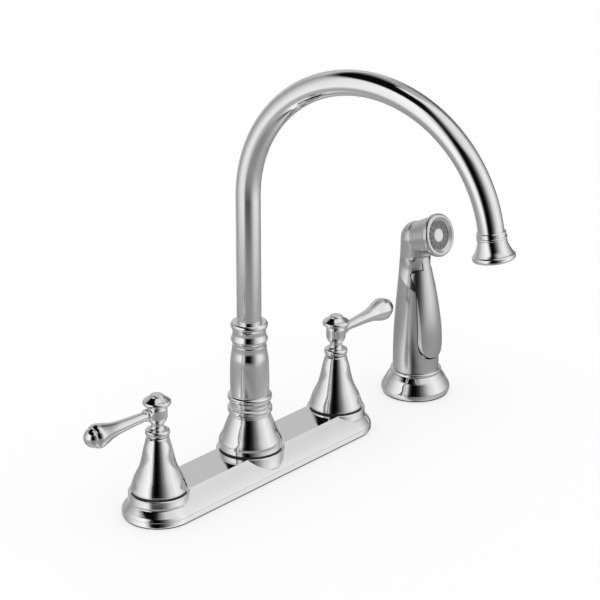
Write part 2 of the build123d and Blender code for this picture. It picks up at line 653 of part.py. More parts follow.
def spout_column():
    ring_top = RING_A_BOTTOM + RING_A_HEIGHT
    shaft_bottom = ring_top + 1.2
    shaft_top = COLUMN_TOP - 17.0
    middle = (shaft_bottom + shaft_top) / 2
    neck_height = COLUMN_TOP - 2.4
    column = turned(
        Line(rz(0, COLUMN_BOTTOM), rz(COLUMN_RADIUS + 0.3, COLUMN_BOTTOM)),
        Line(rz(COLUMN_RADIUS + 0.3, COLUMN_BOTTOM), rz(COLUMN_RADIUS, shaft_bottom)),
        ThreePointArc(rz(COLUMN_RADIUS, shaft_bottom), rz(COLUMN_RADIUS + COLUMN_BULGE, middle),
                      rz(COLUMN_RADIUS, shaft_top)),
        Spline([rz(COLUMN_RADIUS, shaft_top), rz((COLUMN_RADIUS + COLUMN_NECK) / 2, (shaft_top + neck_height) / 2 + 1.6),
                rz(COLUMN_NECK, neck_height)], tangents=[rz(-0.02, 1), rz(-0.04, 1)]),
        Line(rz(COLUMN_NECK, neck_height), rz(COLUMN_NECK, COLUMN_TOP)),
        Line(rz(COLUMN_NECK, COLUMN_TOP), rz(0, COLUMN_TOP)),
        Line(rz(0, COLUMN_TOP), rz(0, COLUMN_BOTTOM)),
    )
    column += bead(0, COLUMN_RADIUS + 0.9, COLUMN_BOTTOM, COLUMN_BOTTOM + 2.0, 0.9)
    column += bead(0, RING_A_RADIUS, RING_A_BOTTOM, ring_top, 1.8)
    column -= rod(POST_RADIUS + RUNNING_GAP, COLUMN_BOTTOM - 1, TUBE_SEAT)
    column -= rod(POST_RADIUS + 1.2, CLIP_HEIGHT - SLIP_GAP, CLIP_HEIGHT + CLIP_THICKNESS + 2 * SLIP_GAP)
    return column - rod(GOOSENECK_RADIUS + RUNNING_GAP, TUBE_SEAT - 1, COLUMN_TOP + 1)


def spout_collar():
    """The turned collar on the column: a groove, a ring, a waist and the top ring."""
    ring = COLUMN_TOP + 3.2
    waist = COLUMN_TOP + 11.6
    top_ring = COLLAR_TOP - 4.4
    collar = turned(
        Line(rz(0, COLUMN_TOP), rz(COLLAR_GROOVE, COLUMN_TOP)),
        Line(rz(COLLAR_GROOVE, COLUMN_TOP), rz(COLLAR_GROOVE, ring)),
        Line(rz(COLLAR_GROOVE, ring), rz(COLLAR_RING - 0.6, ring)),
        ThreePointArc(rz(COLLAR_RING - 0.6, ring), rz(COLLAR_RING, ring + 1.6), rz(COLLAR_RING - 0.5, ring + 3.4)),
        Spline([rz(COLLAR_RING - 0.5, ring + 3.4), rz(COLLAR_WAIST, waist), rz(COLLAR_RING - 0.4, top_ring)],
               tangents=[rz(-0.5, 1), rz(0.7, 1)]),
        ThreePointArc(rz(COLLAR_RING - 0.4, top_ring), rz(COLLAR_RING + 0.2, top_ring + 2.0),
                      rz(COLLAR_RING - 1.2, COLLAR_TOP)),
        Line(rz(COLLAR_RING - 1.2, COLLAR_TOP), rz(0, COLLAR_TOP)),
        Line(rz(0, COLLAR_TOP), rz(0, COLUMN_TOP)),
    )
    return collar - rod(GOOSENECK_RADIUS + RUNNING_GAP, COLUMN_TOP - 1, COLLAR_TOP + 1)


def crook(angle):
    """The point of the spout's centre line where it has turned by that angle."""
    a = radians(angle)
    return (0, -BEND * (1 - cos(a)), RISE + BEND * sin(a))


def tube_end(run):
    """The point a run beyond the end of the bend, straight on."""
    a = radians(BEND_END - 90)
    x, y, z = crook(BEND_END)
    return (x, y - run * cos(a), z - run * sin(a))


def spout_path():
    return Wire([
        Line((0, 0, TUBE_SEAT), crook(0)),
        ThreePointArc(crook(0), crook(BEND_END / 2), crook(BEND_END)),
        Line(crook(BEND_END), tube_end(SHELL_SLEEVE)),
    ])


def gooseneck():
    path = spout_path()
    start = Plane(origin=(0, 0, TUBE_SEAT))
    outside = sweep(start * Circle(GOOSENECK_RADIUS), path=path)
    return outside - sweep(start * Circle(GOOSENECK_RADIUS - GOOSENECK_WALL), path=path)


def outlet():
    """The frame of the outlet, with its Z axis along the water."""
    a = radians(BEND_END - 90)
    return Plane(origin=tube_end(SHELL_SLEEVE), x_dir=(1, 0, 0), z_dir=(0, -cos(a), -sin(a)))


AERATOR_TOP = SHELL_LENGTH - AERATOR_RECESS - AERATOR_LENGTH


def aerator_shell():
    sleeve_radius = GOOSENECK_RADIUS + SHELL_SKIN
    rim_start = SHELL_LENGTH - SHELL_RIM_HEIGHT
    waist = 2.6
    shell = turned(
        Line(rz(0, -SHELL_SLEEVE), rz(sleeve_radius - 0.5, -SHELL_SLEEVE)),
        Line(rz(sleeve_radius - 0.5, -SHELL_SLEEVE), rz(sleeve_radius, -SHELL_SLEEVE + 0.5)),
        Line(rz(sleeve_radius, -SHELL_SLEEVE + 0.5), rz(sleeve_radius, waist)),
        Spline([rz(sleeve_radius, waist), rz(sleeve_radius + 0.9, waist + (rim_start - waist) * 0.45),
                rz(SHELL_RIM - 1.3, rim_start)], tangents=[rz(0.02, 1), rz(0.62, 1)]),
        Line(rz(SHELL_RIM - 1.3, rim_start), rz(0, rim_start)),
        Line(rz(0, rim_start), rz(0, -SHELL_SLEEVE)),
    )
    shell += bead(0, sleeve_radius + 0.6, 0.6, waist, 0.8)
    shell += bead(0, SHELL_RIM, rim_start, SHELL_LENGTH, SHELL_RIM_HEIGHT * 0.42)
    shell -= rod(GOOSENECK_RADIUS + RUNNING_GAP, -SHELL_SLEEVE - 1, 0)
    shell -= rod(GOOSENECK_RADIUS - GOOSENECK_WALL, -1, AERATOR_TOP)
    return shell - rod(AERATOR_RADIUS + RUNNING_GAP, AERATOR_TOP - OUTLET_WASHER, SHELL_LENGTH + 1)


def aerator_insert():
    insert = rod(AERATOR_RADIUS, AERATOR_TOP, AERATOR_TOP + AERATOR_LENGTH)
    return insert - rod(AERATOR_RADIUS - 1.8, AERATOR_TOP - 1, AERATOR_TOP + AERATOR_LENGTH + 1)


def aerator_screen():
    """A woven screen near the mouth, as crossing bars in a ring."""
    outer = AERATOR_RADIUS - 1.8
    bottom = AERATOR_TOP + AERATOR_LENGTH - 2 * SCREEN_THICKNESS
    pitch = 2.4
    bars = None
    for step in range(-4, 5):
        for angle in (0, 90):
            bar = Rot(0, 0, angle) * Pos(0, step * pitch, 0) * Box(2 * outer, 0.7, SCREEN_THICKNESS)
            bars = bar if bars is None else bars + bar
    grid = Pos(0, 0, bottom + SCREEN_THICKNESS / 2) * bars
    disc = rod(outer, bottom, bottom + SCREEN_THICKNESS)
    return (grid & disc) + sleeve(outer, outer - 0.8, bottom, bottom + SCREEN_THICKNESS)


def aerator_washer():
    return sleeve(AERATOR_RADIUS, AERATOR_RADIUS - 3, AERATOR_TOP - OUTLET_WASHER, AERATOR_TOP)


# ---------------------------------------------------------------- diverter
def diverter_cage():
    cage = rod(POST_BORE - RUNNING_GAP, CAGE_BOTTOM, CAGE_TOP)
    for angle in (0, 90, 180, 270):
        cage -= Rot(0, 0, angle) * Pos(POST_BORE - 1, 0, 0) * rod(1.2, CAGE_BOTTOM - 1, CAGE_TOP + 1)
    return cage - rod(PISTON_STEM + RUNNING_GAP, CAGE_BOTTOM - 1, CAGE_TOP + 1)


def diverter_piston():
    head_top = CAGE_BOTTOM - PISTON_TRAVEL - 2 * FACE_GAP
    piston = rod(PISTON_HEAD, head_top - PISTON_HEAD_THICKNESS, head_top)
    piston += rod(PISTON_STEM, head_top, PISTON_TOP)
    return piston


def diverter_washer():
    top = CAGE_BOTTOM - PISTON_TRAVEL - 2 * FACE_GAP - PISTON_HEAD_THICKNESS
    return rod(PISTON_HEAD - 0.6, top - PISTON_WASHER, top)


# ---------------------------------------------------------------- mounting hardware
def mounting_washer(thread, radius):
    return sleeve(radius, thread + SLIP_GAP, -DECK_THICKNESS - WASHER_THICKNESS, -DECK_THICKNESS)


def wing_nut():
    top = -DECK_THICKNESS - WASHER_THICKNESS
    nut = rod(NUT_RADIUS, NUT_BOTTOM, top)
    wing = Box(2 * NUT_WING, NUT_WING_THICKNESS, NUT_HEIGHT * 0.7)
    nut += Pos(0, 0, NUT_BOTTOM + NUT_HEIGHT * 0.35) * wing
    return nut - rod(SHANK_RADIUS + RUNNING_GAP, NUT_BOTTOM - 1, top + 1)


# ---------------------------------------------------------------- spray support
SUPPORT_BOTTOM = GASKET_THICKNESS


def spray_support():
    lip_bottom = SUPPORT_TOP - SUPPORT_LIP_HEIGHT
    shoulder = (SUPPORT_RADIUS - 0.8, SUPPORT_RIM_TOP)
    neck = (SUPPORT_LIP_RADIUS - 0.4, lip_bottom)
    support = turned(
        Line(rz(0, SUPPORT_BOTTOM), rz(SUPPORT_RADIUS - 0.9, SUPPORT_BOTTOM)),
        ThreePointArc(rz(SUPPORT_RADIUS - 0.9, SUPPORT_BOTTOM), rz(SUPPORT_RADIUS, SUPPORT_RIM_TOP * 0.56), rz(*shoulder)),
        flare(shoulder, neck, SUPPORT_CURVE, (-0.45, 1), (-1, 1)),
        Line(rz(*neck), rz(0, lip_bottom)),
        Line(rz(0, lip_bottom), rz(0, SUPPORT_BOTTOM)),
    )
    support += bead(0, SUPPORT_LIP_RADIUS, lip_bottom, SUPPORT_TOP, 1.2)
    support += rod(SUPPORT_SHANK, -SUPPORT_SHANK_LENGTH, SUPPORT_BOTTOM)
    support -= rod(CUP_RADIUS, CUP_FLOOR, SUPPORT_TOP + 1)
    return support - rod(SUPPORT_BORE, -SUPPORT_SHANK_LENGTH - 1, CUP_FLOOR + 1)


def spray_gasket():
    return sleeve(SUPPORT_RADIUS - GASKET_INSET, SUPPORT_SHANK + SLIP_GAP, 0, GASKET_THICKNESS)


def spray_bushing():
    """Plastic liner that guides the hose coupling through the shank."""
    outer = SUPPORT_BORE - RUNNING_GAP
    liner = sleeve(outer, outer - BUSHING_WALL, -SUPPORT_SHANK_LENGTH + 4, CUP_FLOOR)
    return liner + sleeve(CUP_RADIUS - 1, outer - BUSHING_WALL, CUP_FLOOR, CUP_FLOOR + 1)


def spray_nut():
    top = -DECK_THICKNESS - WASHER_THICKNESS
    nut = hexagon(SPRAY_NUT_FLATS, top - SPRAY_NUT_HEIGHT, top)
    return nut - rod(SUPPORT_SHANK + RUNNING_GAP, top - SPRAY_NUT_HEIGHT - 1, top + 1)


# ---------------------------------------------------------------- spray
BODY_BOTTOM = SUPPORT_TOP + FACE_GAP
PLUG_BOTTOM = CUP_FLOOR + 2.0


def hose_coupling():
    shoulder = PLUG_BOTTOM - FACE_GAP
    coupling = rod(COUPLING_RADIUS, COUPLING_BOTTOM, shoulder)
    coupling += rod(COUPLING_SPINDLE, COUPLING_BOTTOM, COUPLING_TOP)
    coupling += rod(HOSE_END_RADIUS, COUPLING_BOTTOM - HOSE_END_LENGTH, COUPLING_BOTTOM)
    return coupling - rod(PASSAGE, COUPLING_BOTTOM - HOSE_END_LENGTH - 1, COUPLING_TOP + 1)


def trigger_outline(margin):
    """The trigger seen from the front, grown by a margin, as a face in the XZ plane."""
    wide = TRIGGER_HALF_WIDTH + margin
    neck = TRIGGER_NECK + margin
    bottom = TRIGGER_BOTTOM - margin
    round_top = TRIGGER_BOTTOM + TRIGGER_TONGUE
    shoulder = PIVOT_HEIGHT - TRIGGER_SHOULDER + margin
    top = PIVOT_HEIGHT + TRIGGER_RISE + margin
    edges = []
    for side in (-1, 1):
        edges += [
            Line((side * wide, 0, round_top), (side * (wide - 1.2), 0, shoulder - 5.0)),
            ThreePointArc((side * (wide - 1.2), 0, shoulder - 5.0), (side * (wide - 2.6), 0, shoulder - 1.6),
                          (side * neck, 0, shoulder)),
            Line((side * neck, 0, shoulder), (side * neck, 0, top)),
        ]
    edges.append(Line((-neck, 0, top), (neck, 0, top)))
    tongue = [(-wide, 0, round_top), (0, 0, bottom), (wide, 0, round_top)]
    edges.append(Spline(tongue, tangents=[(0, 0, -1), (0, 0, 1)]))
    return Face(Wire(edges))


def trigger_swing(height):
    """How far the trigger moves inwards at a height when it is pressed."""
    return max(PIVOT_HEIGHT - height, 0) * tan(radians(TRIGGER_TRAVEL))


def front_point(distance, share):
    """A point of the trigger's front as (distance, height)."""
    return (distance, TRIGGER_BOTTOM + share * (PIVOT_HEIGHT - TRIGGER_BOTTOM))


def trigger_surface(inset, swing):
    """A turned solid inside the trigger's front, drawn in by an inset and its swing."""
    front = [front_point(*p) for p in TRIGGER_FRONT]
    points = [(r - inset - swing * trigger_swing(z), z) for r, z in front]
    low, high = points[0], points[-1]
    return turned(
        Line(rz(0, low[1]), rz(*low)),
        Spline([rz(*p) for p in points]),
        Line(rz(*high), rz(0, high[1])),
        Line(rz(0, high[1]), rz(0, low[1])),
    )


def trigger_prism(margin):
    return extrude(trigger_outline(margin), 2 * SUPPORT_RADIUS, dir=(0, -1, 0))


def pressed(shape):
    """A shape of the trigger turned in about its pin by the full travel."""
    pivot = Pos(0, -PIVOT_DEPTH, PIVOT_HEIGHT)
    return pivot * Rot(TRIGGER_TRAVEL, 0, 0) * pivot.inverse() * shape


def throat():
    """What the narrow throat takes off the body's front."""
    outline = [rz(distance, PIVOT_HEIGHT + height) for distance, height in THROAT]
    far = 2 * SUPPORT_RADIUS
    return Pos(0, THROAT_BACK, 0) * turned(
        Spline(outline),
        Line(outline[-1], rz(far, PIVOT_HEIGHT + THROAT[-1][1])),
        Line(rz(far, PIVOT_HEIGHT + THROAT[-1][1]), rz(far, PIVOT_HEIGHT + THROAT[0][1])),
        Line(rz(far, PIVOT_HEIGHT + THROAT[0][1]), outline[0]),
    )


def spray_body():
    low, high = (BODY_RADIUS, BODY_BOTTOM + 8.0), (BODY_NECK, BODY_NECK_HEIGHT)
    body = turned(
        Line(rz(0, BODY_BOTTOM), rz(BODY_RADIUS, BODY_BOTTOM)),
        Line(rz(BODY_RADIUS, BODY_BOTTOM), rz(*low)),
        flare(low, high, BODY_CURVE, (0, 1), (0, 1)),
        ThreePointArc(rz(*high), rz(BODY_NECK * cos(radians(45)), BODY_NECK_HEIGHT + BODY_NECK * sin(radians(45))),
                      rz(0, BODY_NECK_HEIGHT + BODY_NECK)),
        Line(rz(0, BODY_NECK_HEIGHT + BODY_NECK), rz(0, BODY_BOTTOM)),
    )
    rear = Plane(origin=(0, 0, BODY_NECK_HEIGHT), z_dir=face_frame().z_dir) * Circle(HEAD_REAR_RADIUS)
    body += loft([rear, face_frame() * Circle(HEAD_RADIUS)])
    body -= throat()
    body += rod(PLUG_RADIUS, PLUG_BOTTOM, BODY_BOTTOM)
    core = trigger_surface(TRIGGER_THICKNESS + TRIGGER_CLEARANCE, 1)
    body -= trigger_prism(TRIGGER_CLEARANCE) - core
    body -= pressed(trigger_prism(TRIGGER_CLEARANCE)) - core
    body -= rod(COUPLING_SPINDLE + RUNNING_GAP, 0, COUPLING_TOP + SLIP_GAP)
    body -= rod(PASSAGE, 0, BODY_NECK_HEIGHT)
    body -= face_frame() * rod(PASSAGE, -HEAD_FRONT / cos(radians(HEAD_TILT)), 1)
    body -= across(KNUCKLE_RADIUS + SLIP_GAP, 2 * (TRIGGER_NECK + TRIGGER_CLEARANCE))
    body -= across(PIN_RADIUS + RUNNING_GAP, 2 * PIN_HALF_LENGTH)
    return body - plunger_bore()


def across(radius, length):
    """A bar along X on the trigger's pivot."""
    return Pos(0, -PIVOT_DEPTH, PIVOT_HEIGHT) * Rot(0, 90, 0) * Cylinder(radius, length)


def along_y(radius, inner, outer, height):
    """A bar along -Y from inner to outer, both measured from the spray's axis."""
    return Pos(0, -(inner + outer) / 2, height) * Rot(90, 0, 0) * Cylinder(radius, outer - inner)


def trigger_front(height):
    """The trigger's front at a height, from the spray's axis, between its given points."""
    front = [front_point(*p) for p in TRIGGER_FRONT]
    for (near, low), (far, high) in zip(front, front[1:]):
        if height <= high:
            return near + (far - near) * (height - low) / (high - low)
    return front[-1][0]


PLUNGER_FRONT = trigger_front(PLUNGER_HEIGHT) - TRIGGER_THICKNESS - SLIP_GAP
PLUNGER_STROKE = trigger_swing(PLUNGER_HEIGHT)


def plunger_bore():
    head = PLUNGER_FRONT - PLUNGER_HEAD_THICKNESS
    bore = along_y(PLUNGER_RADIUS + RUNNING_GAP, 0, 2 * BODY_RADIUS, PLUNGER_HEIGHT)
    return bore + along_y(PLUNGER_HEAD + SLIP_GAP, head - PLUNGER_STROKE - 2.0, 2 * BODY_RADIUS, PLUNGER_HEIGHT)


def spray_plunger():
    head = PLUNGER_FRONT - PLUNGER_HEAD_THICKNESS
    edge = PLUNGER_FRONT - PLUNGER_DOME
    plunger = turned(
        Line(rz(0, PLUNGER_INNER_END + PLUNGER_STROKE), rz(PLUNGER_RADIUS, PLUNGER_INNER_END + PLUNGER_STROKE)),
        Line(rz(PLUNGER_RADIUS, PLUNGER_INNER_END + PLUNGER_STROKE), rz(PLUNGER_RADIUS, head)),
        Line(rz(PLUNGER_RADIUS, head), rz(PLUNGER_HEAD, head)),
        Line(rz(PLUNGER_HEAD, head), rz(PLUNGER_HEAD, edge)),
        dome(PLUNGER_HEAD, edge, PLUNGER_DOME),
        Line(rz(0, PLUNGER_FRONT), rz(0, PLUNGER_INNER_END + PLUNGER_STROKE)),
    )
    return Pos(0, 0, PLUNGER_HEIGHT) * Rot(90, 0, 0) * plunger


def plunger_spring():
    head = PLUNGER_FRONT - PLUNGER_HEAD_THICKNESS
    inner = PLUNGER_RADIUS + RUNNING_GAP
    ends = head - PLUNGER_STROKE - 2.0 + RUNNING_GAP, head - RUNNING_GAP
    return along_y(inner + SPRING_WALL, *ends, PLUNGER_HEIGHT) - along_y(inner, 0, 2 * BODY_RADIUS, PLUNGER_HEIGHT)


def spray_trigger():
    shell = trigger_surface(0, 0) - trigger_surface(TRIGGER_THICKNESS, 0)
    trigger = shell & trigger_prism(0)
    trigger += across(KNUCKLE_RADIUS, 2 * TRIGGER_NECK)
    return trigger - across(PIN_RADIUS + RUNNING_GAP, 4 * PIN_HALF_LENGTH)


def face_frame():
    """The frame of the head's front, with its Z axis along the spray."""
    a = radians(HEAD_TILT)
    return Plane(origin=(0, -HEAD_FRONT, HEAD_HEIGHT), x_dir=(1, 0, 0), z_dir=(0, -cos(a), sin(a)))


def face_ring():
    """The ring round the face, rounded outside and sloping in to the face."""
    inner = FACE_RADIUS + RUNNING_GAP
    slope_start = FACE_RING_RADIUS - 3.0
    ring = bead(0, FACE_RING_RADIUS, 0, FACE_RING_DEPTH, 2.2)
    ring -= turned(
        Line(rz(0, FACE_RING_DEPTH - FACE_BEVEL), rz(inner, FACE_RING_DEPTH - FACE_BEVEL)),
        Line(rz(inner, FACE_RING_DEPTH - FACE_BEVEL), rz(slope_start, FACE_RING_DEPTH)),
        Line(rz(slope_start, FACE_RING_DEPTH), rz(slope_start, FACE_RING_DEPTH + 1)),
        Line(rz(slope_start, FACE_RING_DEPTH + 1), rz(0, FACE_RING_DEPTH + 1)),
        Line(rz(0, FACE_RING_DEPTH + 1), rz(0, FACE_RING_DEPTH - FACE_BEVEL)),
    )
    return ring - rod(inner, -1, FACE_RING_DEPTH + 1)


def spray_face():
    top = FACE_RING_DEPTH - FACE_RECESS
    face = rod(FACE_RADIUS, 0, top) - rod(PASSAGE, -1, 2)
    for radius, count in ((FACE_RADIUS - 1.9, FACE_NOZZLES), (FACE_RADIUS - 4.2, FACE_NOZZLES // 2)):
        for step in range(count):
            face += Rot(0, 0, 360 * step / count) * Pos(radius, 0, 0) * rod(NOZZLE_RADIUS, top - 0.5, top + 0.7)
    return face - rod(FACE_BUTTON + RUNNING_GAP, top - 1.0, top + 2)


def face_button():
    top = FACE_RING_DEPTH - FACE_RECESS
    return turned(
        Line(rz(0, top - 1.0), rz(FACE_BUTTON, top - 1.0)),
        Line(rz(FACE_BUTTON, top - 1.0), rz(FACE_BUTTON, top + 0.2)),
        dome(FACE_BUTTON, top + 0.2, 1.7),
        Line(rz(0, top + 1.9), rz(0, top - 1.0)),
    )


# ---------------------------------------------------------------- the pieces
def pieces():
    """Every node's name and shape, where it lies at rest."""
    bells = both_handles(bell_gasket(BELL_RADIUS)) + [bell_gasket(SPOUT_BELL_RADIUS)]
    parts = {
        "deck_plate": deck_plate(),
        "deck_gasket": deck_gasket(),
        "centre_body": centre_body(),
        "lock_rings": Compound(both_handles(lock_ring(VALVE_RADIUS)) + [lock_ring(HUB_RADIUS)]),
        "bell_gaskets": Compound(bells),
        "bonnet_nuts": Compound(both_handles(bonnet_nut())),
        "seat_seals": Compound(both_handles(seat_seal())),
        "mounting_washers": Compound(both_handles(mounting_washer(SHANK_RADIUS, WASHER_RADIUS))),
        "mounting_nuts": Compound(both_handles(wing_nut())),
        "spout_bell": spout_bell(),
        "spout_swivel_washer": swivel_washer(),
        "spout_o_rings": Compound([o_ring(POST_RADIUS, h) for h in (LOWER_SEAL, UPPER_SEAL)]),
        "spout_retaining_ring": retaining_ring(),
        "diverter_cage": diverter_cage(),
        "spout_column": spout_column(),
        "spout_collar": spout_collar(),
        "gooseneck": gooseneck(),
        "aerator_shell": outlet() * aerator_shell(),
        "aerator_insert": outlet() * aerator_insert(),
        "aerator_screen": outlet() * aerator_screen(),
        "aerator_washer": outlet() * aerator_washer(),
        "diverter_piston": diverter_piston(),
        "diverter_washer": diverter_washer(),
    }
    for name in ("gooseneck", "aerator_shell", "aerator_insert", "aerator_screen", "aerator_washer"):
        parts[name] = Rot(0, 0, SPOUT_TURN) * parts[name]
    disc_bottom = POCKET_FLOOR + SEAL_THICKNESS
    fixed = ceramic_disc(HOUSING_BORE - RUNNING_GAP, disc_bottom, 0)
    parts["fixed_discs"] = Compound(both_handles(fixed))
    for name, side in (("hot", -1), ("cold", 1)):
        here = Pos(side * STATION, 0, 0)
        parts[f"{name}_valve_body"] = here * valve_body(-side)
        parts[f"{name}_crossover_tube"] = here * crossover_tube(-side)
        parts[f"{name}_cartridge"] = here * cartridge()
        parts[f"{name}_bell"] = here * handle_bell()
        handle = {
            "moving_disc": ceramic_disc(HOUSING_BORE - SLIP_GAP, disc_bottom + DISC_THICKNESS, 90),
            "stem": stem(),
            "stem_o_ring": o_ring(STEM_RADIUS, stem_seal_height()),
            "handle_hub": handle_hub() - lever_socket(side),
            "handle_cap": handle_cap(),
            "lever": lever(side),
            "set_screw": set_screw(),
        }
        for piece, shape in handle.items():
            parts[f"{name}_{piece}"] = here * (Rot(0, 0, side * HANDLE_TURN) * shape)
    spray = Pos(SPRAY_X, 0, 0)
    for name, shape in (
        ("spray_support", spray_support()),
        ("spray_gasket", spray_gasket()),
        ("spray_bushing", spray_bushing()),
        ("spray_washer", mounting_washer(SUPPORT_SHANK, SPRAY_WASHER_RADIUS)),
        ("spray_nut", spray_nut()),
        ("spray_hose_coupling", hose_coupling()),
        ("spray_body", spray_body()),
        ("spray_hinge_pin", across(PIN_RADIUS, 2 * PIN_HALF_LENGTH)),
        ("spray_trigger", spray_trigger()),
        ("spray_plunger", spray_plunger()),
        ("spray_plunger_spring", plunger_spring()),
        ("spray_face_ring", face_frame() * face_ring()),
        ("spray_face", face_frame() * spray_face()),
        ("spray_face_button", face_frame() * face_button()),
    ):
        parts[name] = spray * shape
    return parts


def main():
    os.makedirs("parts", exist_ok=True)
    for name, shape in pieces().items():
        export_step(shape, f"parts/{name}.step")


main()
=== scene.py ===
"""Two handle kitchen faucet with a side spray: the dressed model and its studio."""
import json
from math import cos, pi, radians, sin

import bpy
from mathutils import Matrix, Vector

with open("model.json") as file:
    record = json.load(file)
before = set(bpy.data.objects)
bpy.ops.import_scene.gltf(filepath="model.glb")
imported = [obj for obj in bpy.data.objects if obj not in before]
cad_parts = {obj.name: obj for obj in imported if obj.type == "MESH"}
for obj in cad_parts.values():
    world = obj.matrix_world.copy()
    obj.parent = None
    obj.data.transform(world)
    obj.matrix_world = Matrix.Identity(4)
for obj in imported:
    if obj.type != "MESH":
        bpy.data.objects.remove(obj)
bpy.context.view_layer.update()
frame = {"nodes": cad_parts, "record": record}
nodes = frame["nodes"]
bpy.context.scene.view_settings.view_transform = "Standard"

WHITE = (1, 1, 1, 1)
MIX_FIRST, MIX_SECOND, MIX_RESULT = 6, 7, 2     # a mix node's colour sockets


# ------------------------------------------------------------------ nodes
def material(name):
    """A node material, its tree and its shader."""
    mat = bpy.data.materials.new(name)
    mat.use_nodes = True
    tree = mat.node_tree
    return mat, tree, tree.nodes["Principled BSDF"]


def node(tree, kind, inputs=None, **properties):
    """Adds a node with its properties and its inputs' default values."""
    made = tree.nodes.new(kind)
    for key, value in properties.items():
        setattr(made, key, value)
    for key, value in (inputs or {}).items():
        made.inputs[key].default_value = value
    return made


def calc(tree, operation, *values):
    """A math node's result; each value is a number or another node's output."""
    made = node(tree, "ShaderNodeMath", operation=operation)
    for socket, value in zip(made.inputs, values):
        if isinstance(value, float):
            socket.default_value = value
        else:
            tree.links.new(value, socket)
    return made.outputs[0]


def parts_of(tree, vector):
    """A vector's X, Y and Z as outputs."""
    made = node(tree, "ShaderNodeSeparateXYZ")
    tree.links.new(vector, made.inputs[0])
    return made.outputs


def noise(tree, scale, detail=2.0, rough=0.5, distort=0.0):
    """Noise in object space, so it stays with its piece; scale is per metre."""
    place = node(tree, "ShaderNodeTexCoord")
    made = node(tree, "ShaderNodeTexNoise", {
        "Scale": scale, "Detail": detail, "Roughness": rough, "Distortion": distort})
    tree.links.new(place.outputs["Object"], made.inputs["Vector"])
    return made.outputs["Fac"]


def ramp(tree, source, stops):
    """A colour ramp on a value, from (position, colour) stops."""
    made = node(tree, "ShaderNodeValToRGB")
    marks = made.color_ramp.elements
    while len(marks) > 1:
        marks.remove(marks[0])
    first, *others = stops
    marks[0].position, marks[0].color = first[0], (*first[1], 1)
    for position, colour in others:
        mark = marks.new(position)
        mark.color = (*colour, 1)
    tree.links.new(source, made.inputs["Fac"])
    return made.outputs["Color"]


def spread(tree, source, low, high):
    """A value of 0..1 mapped to low..high."""
    made = node(tree, "ShaderNodeMapRange", {"To Min": low, "To Max": high})
    tree.links.new(source, made.inputs["Value"])
    return made.outputs["Result"]


def within(tree, source, low, high):
    """A value of low..high mapped to 0..1 and held there."""
    made = node(tree, "ShaderNodeMapRange", {"From Min": low, "From Max": high})
    tree.links.new(source, made.inputs["Value"])
    return made.outputs["Result"]


def blend(tree, share, first, second):
    """Two colours mixed; a share of 1 is all second."""
    made = node(tree, "ShaderNodeMix", data_type="RGBA")
    tree.links.new(share, made.inputs["Factor"])
    tree.links.new(first, made.inputs[MIX_FIRST])
    tree.links.new(second, made.inputs[MIX_SECOND])
    return made.outputs[MIX_RESULT]


def mix_shaders(tree, share, first, second):
    """Two shaders' outputs mixed; a share of 1 is all second."""
    made = node(tree, "ShaderNodeMixShader")
    tree.links.new(share, made.inputs["Fac"])
    tree.links.new(first, made.inputs[1])
    tree.links.new(second, made.inputs[2])
    return made.outputs[0]


def dress(tree, shader, colour, roughness):
    tree.links.new(colour, shader.inputs["Base Color"])
    tree.links.new(roughness, shader.inputs["Roughness"])


def bump(tree, shader, height, strength, distance):
    made = node(tree, "ShaderNodeBump", {"Strength": strength, "Distance": distance})
    tree.links.new(height, made.inputs["Height"])
    tree.links.new(made.outputs["Normal"], shader.inputs["Normal"])


def grey(value):
    return (value, value, value)


# ------------------------------------------------------------------ materials
# scales are per metre, depths are metres
HAZE_SCALE, HAZE_SHADE = 90, 0.975
WAVE_SCALE, WAVE_DEPTH = 55, 0.0004
METAL_GRAIN, STEEL_GRAIN = 260, 420
METAL_WANDER, METAL_BUMP, METAL_DEPTH = 0.12, 0.15, 0.0002
CLOUD_SCALE, MOULD_GRAIN = 60, 900
MOULD_WANDER, MOULD_BUMP, MOULD_DEPTH = 0.14, 0.3, 0.00008


def chrome(name, tint, roughness, wander, ripple):
    """Plated metal: polishing haze in the roughness and a faint ripple."""
    mat, tree, shader = material(name)
    shader.inputs["Metallic"].default_value = 1.0
    haze = noise(tree, HAZE_SCALE, detail=3.0, rough=0.6)
    low = tuple(c * HAZE_SHADE for c in tint)
    dress(tree, shader, ramp(tree, haze, [(0.3, low), (0.7, tint)]),
          spread(tree, haze, roughness, roughness + wander))
    wave = noise(tree, WAVE_SCALE, detail=1.0, distort=0.3)
    bump(tree, shader, wave, ripple, WAVE_DEPTH)
    return mat


def metal(name, dark, light, roughness, scale=METAL_GRAIN):
    """Machined or drawn metal with a fine grain."""
    mat, tree, shader = material(name)
    shader.inputs["Metallic"].default_value = 1.0
    grain = noise(tree, scale, detail=4.0, rough=0.65)
    dress(tree, shader, ramp(tree, grain, [(0.35, dark), (0.68, light)]),
          spread(tree, grain, roughness, roughness + METAL_WANDER))
    bump(tree, shader, grain, METAL_BUMP, METAL_DEPTH)
    return mat


def moulded(name, dark, light, roughness):
    """Moulded plastic, rubber or ceramic with a fine surface grain."""
    mat, tree, shader = material(name)
    cloud = noise(tree, CLOUD_SCALE)
    grain = noise(tree, MOULD_GRAIN, detail=3.0, rough=0.7)
    dress(tree, shader, ramp(tree, cloud, [(0.3, dark), (0.7, light)]),
          spread(tree, grain, roughness, roughness + MOULD_WANDER))
    bump(tree, shader, grain, MOULD_BUMP, MOULD_DEPTH)
    return mat


